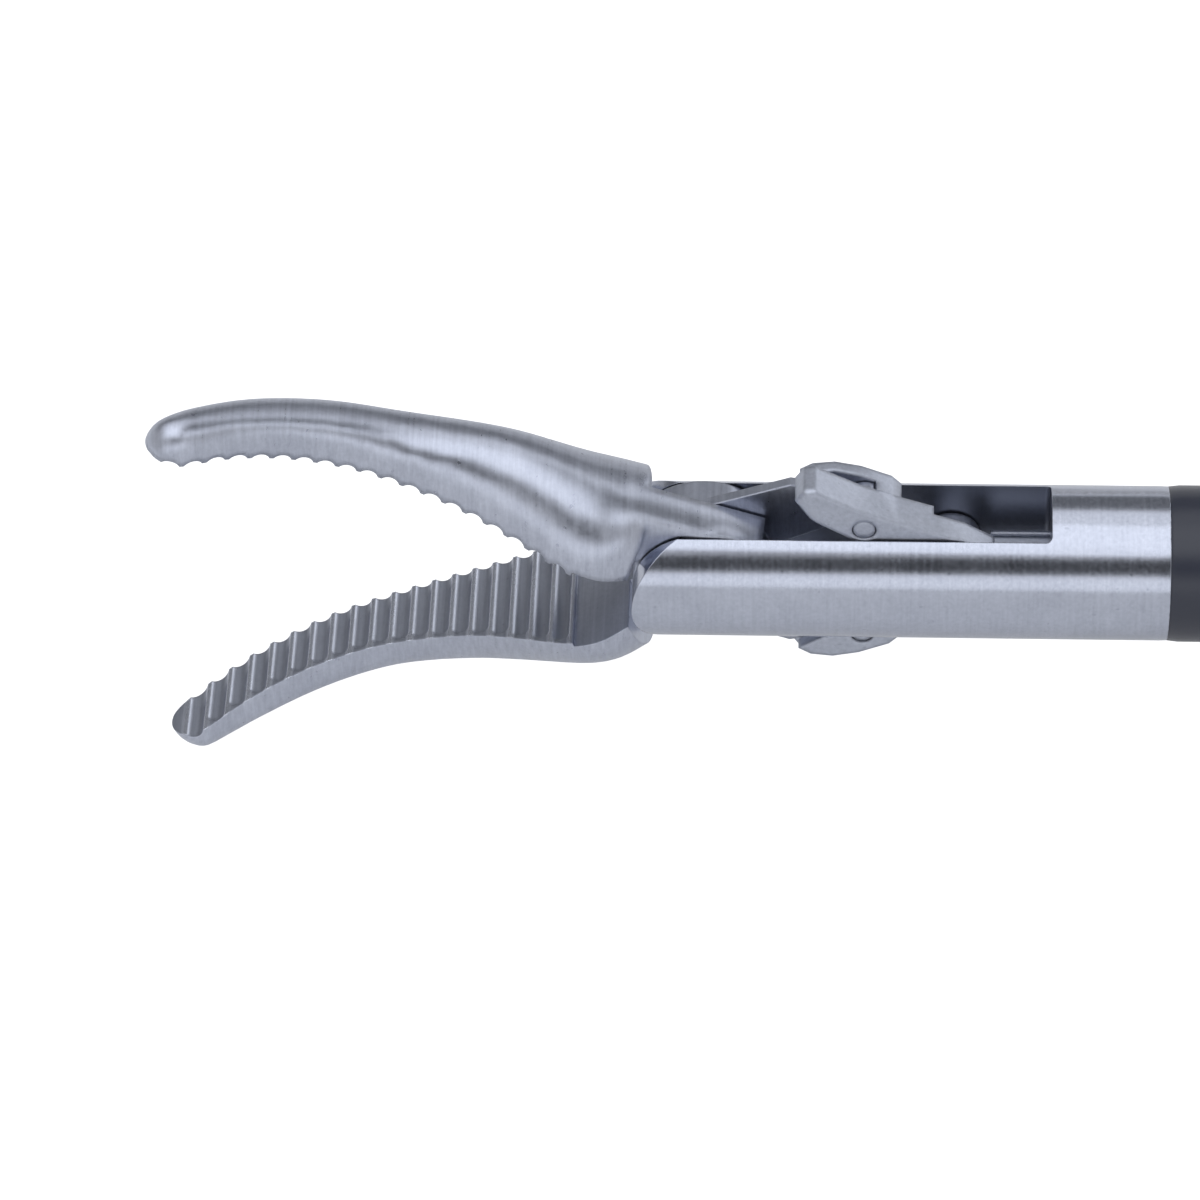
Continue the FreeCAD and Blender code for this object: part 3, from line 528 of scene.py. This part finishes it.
def corner_normals(mesh: bpy.types.Mesh, angle: float, rounds: int) -> np.ndarray:
    """Return smooth normals for a mesh's corners, which keep its edges crisp.

    A corner's normal is the mean, weighted by area, of the faces round its vertex that lean less than
    an angle from its own face. Each further round does this again with the faces' smoothed normals.

    Args:
        mesh: the merged mesh.
        angle: the largest lean between faces that are shaded as one, in degrees.
        rounds: how many times the normals are smoothed.

    Returns:
        An array with one unit vector for each corner.
    """
    count = len(mesh.polygons)
    corner_counts = np.empty(count, dtype=np.int32)
    areas = np.empty(count, dtype=float)
    face_normals = np.empty(count * 3, dtype=float)
    vertices = np.empty(len(mesh.loops), dtype=np.int32)
    mesh.polygons.foreach_get("loop_total", corner_counts)
    mesh.polygons.foreach_get("area", areas)
    mesh.polygons.foreach_get("normal", face_normals)
    mesh.loops.foreach_get("vertex_index", vertices)
    faces = np.repeat(np.arange(count), corner_counts)
    own = face_normals.reshape(-1, 3)[faces]
    starts = np.concatenate([[0], np.cumsum(corner_counts)[:-1]])
    weight = (areas[faces] + 1e-18)[:, None]
    order = np.argsort(vertices, kind="stable")
    group_sizes = np.bincount(vertices)
    group_ends = np.cumsum(group_sizes)[vertices[order]]
    left = np.arange(len(order))
    limit = math.cos(math.radians(angle))
    pairs = []
    for shift in range(1, int(group_sizes.max())):
        left = left[left + shift < group_ends[left]]
        first = order[left]
        second = order[left + shift]
        near = (own[first] * own[second]).sum(axis=1) > limit
        pairs.append((first[near], second[near]))
    current = own
    total = own
    for _round in range(rounds):
        weighted = current * weight
        total = weighted.copy()
        for first, second in pairs:
            total[first] += weighted[second]
            total[second] += weighted[first]
        total = unit(total)
        current = unit(np.add.reduceat(total, starts, axis=0))[faces]
    return total


def refine(work: bmesh.types.BMesh, longest: float) -> None:
    """Split a mesh's edges until none is longer than a length.

    Args:
        work: the mesh being edited.
        longest: the longest edge that stays, in metres.
    """
    for _pass in range(9):
        long_edges = [edge for edge in work.edges if edge.calc_length() > longest]
        if not long_edges:
            return
        bmesh.ops.subdivide_edges(work, edges=long_edges, cuts=1)
        bmesh.ops.triangulate(work, faces=[face for face in work.faces if len(face.verts) > 3])


def smooth_copy(node: str, name: str, rounds: int) -> bpy.types.Object:
    """Return a merged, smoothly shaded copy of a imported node.

    Args:
        node: the node's name.
        name: the new piece's name.
        rounds: how many times its normals are smoothed; more than once also refines the mesh.

    Returns:
        The copy, which stands for the node.
    """
    source = bpy.data.objects[node]
    mesh = source.data.copy()
    mesh.name = name
    work = bmesh.new()
    work.from_mesh(mesh)
    bmesh.ops.remove_doubles(work, verts=work.verts, dist=MERGE_DISTANCE)
    if rounds > 1:
        refine(work, LONGEST_EDGE)
    work.to_mesh(mesh)
    work.free()
    mesh.polygons.foreach_set("use_smooth", np.full(len(mesh.polygons), True))
    mesh.update()
    mesh.normals_split_custom_set(corner_normals(mesh, SMOOTH_ANGLE, rounds).tolist())
    made = bpy.data.objects.new(name, mesh)
    bpy.context.scene.collection.objects.link(made)
    return made


def dress(piece: bpy.types.Object, finish: bpy.types.Material, body: str, slot: str, *nodes: str) -> None:
    """Give a piece its material, its body and the nodes that it stands for."""
    piece.data.materials.clear()
    piece.data.materials.append(finish)
    piece.data.polygons.foreach_set("material_index", np.zeros(len(piece.data.polygons), dtype=np.int32))
    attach(piece, body)
    if nodes:
        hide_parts(*nodes)
    LOG.info("%s rides on %s", piece.name, body)


@dataclass
class CopiedGroup:
    """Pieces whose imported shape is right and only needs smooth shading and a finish."""

    body: str
    slot: str
    finish: Steel | Moulded
    nodes: tuple[str, ...]
    rounds: int = 1

    def build(self) -> None:
        """Make and dress every piece of the group."""
        material = self.finish.material()
        for node in self.nodes:
            piece = smooth_copy(node, node + "_skin", self.rounds)
            dress(piece, material, self.body, self.slot, node)


@dataclass
class Shaft:
    """The long steel tube, its black insulation and the rod inside."""

    sleeve_radius: float = 2.5 * MM
    root_radius: float = 2.8 * MM
    tube_radius: float = 2.29 * MM
    bore_radius: float = 2.01 * MM
    lip: float = 0.04 * MM
    feather: float = 0.35 * MM

    def build(self) -> None:
        """Make and dress the sleeve and the tube."""
        self.build_sleeve()
        self.build_tube()

    def build_sleeve(self) -> None:
        """Make the insulation with its feathered front edge and the thick root in the knob."""
        low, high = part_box("insulation_sleeve")
        knob_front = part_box("rotation_knob")[0].x
        outline = (
            (low.x, self.tube_radius + 0.01 * MM),
            (high.x, self.tube_radius + 0.01 * MM),
            (high.x, self.root_radius),
            (knob_front, self.root_radius),
            (knob_front, self.sleeve_radius),
            (low.x + self.feather, self.sleeve_radius),
            (low.x, self.sleeve_radius - self.lip),
        )
        piece = turned_piece("insulation", outline)
        dress(piece, INSULATION.material(), "shaft", "black_insulation", "insulation_sleeve")

    def build_tube(self) -> None:
        """Make the steel tube under the insulation."""
        low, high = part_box("outer_tube")
        outline = (
            (low.x, self.bore_radius),
            (high.x, self.bore_radius),
            (high.x, self.tube_radius),
            (low.x, self.tube_radius),
        )
        piece = turned_piece("shaft_tube", outline, 64)
        dress(piece, TIP_STEEL.material(), "shaft", "tip_steel", "outer_tube")


@dataclass
class Studio:
    """The pale floor, the lamps and the dark cards that draw the bands on the steel."""

    floor_size: float = 6.0
    middle_x: float = 0.12
    lamp_tint: tuple[float, float, float] = (0.93, 0.96, 1.0)

    def build(self) -> None:
        """Make the floor, the world, the lamps and the cards."""
        self.build_floor()
        self.build_world()
        axis = (self.middle_x, 0.0, 0.0)
        self.lamp("overhead", (self.middle_x, -0.118, 0.609), axis, (1.5, 0.55), 0.98)
        self.lamp("overhead_rear", (self.middle_x, 0.272, 0.557), axis, (1.5, 0.26), 0.58)
        self.lamp("front", (self.middle_x, -0.75, 0.16), axis, (1.6, 0.30), 0.67)
        self.lamp("back", (self.middle_x, 0.9, 0.35), axis, (1.6, 0.30), 0.5)
        self.lamp("side", (0.54, 0.59, 0.41), (0.0, 0.0, 0.0), (0.36, 0.36), 0.85)
        camera_edges = (
            (-0.16, 29.0, 47.0),
            (-0.03, 29.0, 47.0),
            (0.0, 23.5, 46.0),
            (0.02, 25.0, 50.5),
            (0.15, 25.0, 50.5),
        )
        self.card("camera_card", camera_edges, 0.55, 0.055)
        self.card("rear_card", ((-1.2, 132.0, 164.0), (0.42, 132.0, 164.0)), 0.75, 0.19)
        jaw_edges = (
            (0.16, 50.0, 118.0),
            (0.212, 50.0, 118.0),
            (0.24, 70.0, 116.0),
            (0.295, 80.0, 110.0),
            (0.7, 80.0, 110.0),
        )
        self.card("jaw_card", jaw_edges, 0.50, 0.04)

    def build_floor(self) -> None:
        """Make the plain floor, which shows white and keeps the object's shadow."""
        low, _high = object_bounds()
        half = self.floor_size / 2
        level = float(low[2])
        corners = np.array(
            [(-half, -half, level), (half, -half, level), (half, half, level), (-half, half, level)]
        )
        floor = new_piece("floor", corners, np.array([[0, 1, 2, 3]]), False)
        made = bpy.data.materials.new("floor")
        made.use_nodes = True
        graph = Graph(made.node_tree)
        path = graph.add("ShaderNodeLightPath", {}, {})
        seen = Value(graph, path.outputs["Is Camera Ray"])
        mirrored = Value(graph, path.outputs["Is Glossy Ray"])
        diffuse = graph.add("ShaderNodeBsdfDiffuse", {}, {"Color": colour(0.74, 0.74, 0.74)})
        lift = graph.add(
            "ShaderNodeEmission",
            {},
            {"Color": colour(1.0, 1.0, 1.0), "Strength": seen * 0.56 + mirrored * 0.04},
        )
        both = graph.add("ShaderNodeAddShader", {}, {0: diffuse.outputs[0], 1: lift.outputs[0]})
        graph.add("ShaderNodeOutputMaterial", {}, {"Surface": both.outputs[0]})
        floor.data.materials.append(made)
        floor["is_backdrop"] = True

    def build_world(self) -> None:
        """Make the even light of the room."""
        world = bpy.data.worlds.new("room")
        bpy.context.scene.world = world
        world.use_nodes = True
        graph = Graph(world.node_tree)
        path = graph.add("ShaderNodeLightPath", {}, {})
        seen = Value(graph, path.outputs["Is Camera Ray"])
        mirrored = Value(graph, path.outputs["Is Glossy Ray"])
        strength = 0.45 + seen * 0.55 + mirrored * 0.05
        back = graph.add(
            "ShaderNodeBackground", {}, {"Color": colour(1.0, 1.0, 1.0), "Strength": strength}
        )
        graph.add("ShaderNodeOutputWorld", {}, {"Surface": back.outputs[0]})

    def lamp(
        self,
        name: str,
        place: tuple[float, float, float],
        aim: tuple[float, float, float],
        size: tuple[float, float],
        radiance: float,
    ) -> None:
        """Add one soft lamp.

        Args:
            name: the lamp's name.
            place: its middle.
            aim: the point it faces.
            size: its length along X and its width.
            radiance: how bright its face is, where 1 is white.
        """
        data = bpy.data.lights.new(name, "AREA")
        data.shape = "RECTANGLE"
        data.size, data.size_y = size
        data.energy = radiance * math.pi * size[0] * size[1]
        data.color = self.lamp_tint
        made = bpy.data.objects.new(name, data)
        bpy.context.scene.collection.objects.link(made)
        direction = Vector(aim) - Vector(place)
        made.location = place
        made.rotation_euler = direction.to_track_quat("-Z", "Y").to_euler()
        made.visible_camera = False

    def card(
        self,
        name: str,
        edges: Sequence[tuple[float, float, float]],
        distance: float,
        shade: float,
    ) -> None:
        """Add one dark card, an arc round the shaft's axis that only reflections show.

        Args:
            name: the card's name.
            edges: its stations, each with x and the lower and upper edge in degrees above the front
                horizon.
            distance: its distance from the axis.
            shade: how light it is, where 1 is white.
        """
        stations = np.array(edges, dtype=float)
        step = np.linspace(0.0, 1.0, 12)[None, :]
        angle = np.radians(stations[:, 1:2] * (1.0 - step) + stations[:, 2:3] * step)
        x = np.repeat(stations[:, :1], step.size, axis=1)
        verts = np.stack([x, -distance * np.cos(angle), distance * np.sin(angle)], axis=-1)
        row = np.arange(len(stations) - 1)[:, None] * step.size
        first = (row + np.arange(step.size - 1)[None, :]).reshape(-1)
        faces = np.stack([first, first + 1, first + step.size + 1, first + step.size], axis=-1)
        made = new_piece(name, verts, faces, False)
        dark = bpy.data.materials.new(name)
        dark.use_nodes = True
        graph = Graph(dark.node_tree)
        paint = graph.add("ShaderNodeEmission", {}, {"Color": colour(0.95, 0.97, 1.0), "Strength": shade})
        graph.add("ShaderNodeOutputMaterial", {}, {"Surface": paint.outputs[0]})
        made.data.materials.append(dark)
        made.visible_camera = False
        made.visible_diffuse = False
        made.visible_shadow = False
        made.visible_transmission = False
        made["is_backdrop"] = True


@dataclass
class PhotoCamera:
    """The camera at the photograph's viewing angle."""

    elevation: float = 45.0
    azimuth: float = 3.0
    roll: float = -1.45
    distance: float = 200.0 * MM
    frame_width: float = 38.46 * MM
    sensor: float = 36.0
    aim_x: float = -18.17 * MM
    aim_drop: float = 1.385 * MM

    def build(self) -> None:
        """Make the camera and the plain view settings."""
        azimuth = math.radians(self.azimuth)
        elevation = math.radians(self.elevation)
        back = Vector(
            (
                math.sin(azimuth) * math.cos(elevation),
                -math.cos(azimuth) * math.cos(elevation),
                math.sin(elevation),
            )
        )
        right = Vector((math.cos(azimuth), math.sin(azimuth), 0.0))
        up = back.cross(right)
        aim = Vector((self.aim_x, 0.0, 0.0)) - up * self.aim_drop
        turn = Matrix((right, up, back)).transposed().to_4x4()
        spin = Matrix.Rotation(math.radians(self.roll), 4, "Z")
        data = bpy.data.cameras.new("camera")
        data.sensor_width = self.sensor
        data.lens = self.sensor * self.distance / self.frame_width
        data.clip_start = 5 * MM
        data.clip_end = 50.0
        made = bpy.data.objects.new("camera", data)
        made.matrix_world = Matrix.Translation(aim + back * self.distance) @ turn @ spin
        bpy.context.scene.collection.objects.link(made)
        bpy.context.scene.camera = made
        bpy.context.scene.view_settings.view_transform = "Standard"


def main() -> None:
    """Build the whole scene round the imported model."""
    logging.basicConfig(level=logging.INFO, format="%(name)s: %(message)s")
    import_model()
    PhotoCamera().build()
    Studio().build()
    groups = (
        CopiedGroup("shaft", "tip_steel", CLEVIS_STEEL, ("clevis",)),
        CopiedGroup("shaft", "tip_steel", TIP_STEEL, ("jaw_pivot_pin",)),
        CopiedGroup("upper_jaw", "tip_steel", UPPER_JAW_STEEL, ("upper_jaw",), 4),
        CopiedGroup("lower_jaw", "tip_steel", LOWER_JAW_STEEL, ("lower_jaw",), 2),
        CopiedGroup("upper_jaw", "tip_steel", LINK_STEEL, ("lower_tail_pin",)),
        CopiedGroup("lower_jaw", "tip_steel", LINK_STEEL, ("upper_tail_pin",)),
        CopiedGroup("upper_link", "tip_steel", LINK_STEEL, ("upper_link",)),
        CopiedGroup("lower_link", "tip_steel", LINK_STEEL, ("lower_link",)),
        CopiedGroup("rod", "tip_steel", LINK_STEEL, ("rod_head", "push_rod", "rod_ball", "drive_pin")),
        CopiedGroup("shaft", "pale_plastic", PALE, ("rod_guides",)),
        CopiedGroup("shaft", "seal_rubber", RUBBER, ("rod_seal", "flush_cap")),
        CopiedGroup("shaft", "handle_plastic", PLASTIC, ("rotation_knob",)),
        CopiedGroup("shaft", "handle_steel", HANDLE_STEEL, ("knob_hub", "retaining_ring", "flush_port")),
        CopiedGroup(
            "handle",
            "handle_plastic",
            PLASTIC,
            ("housing_upper", "housing_lower", "finger_grip", "connector_collar"),
        ),
        CopiedGroup("lever", "handle_plastic", PLASTIC, ("thumb_lever",)),
        CopiedGroup(
            "handle", "handle_steel", HANDLE_STEEL, ("lever_pivot_pin", "connector_pin", "housing_screws")
        ),
    )
    for group in groups:
        group.build()
    Shaft().build()


if __name__ == "__main__":
    main()
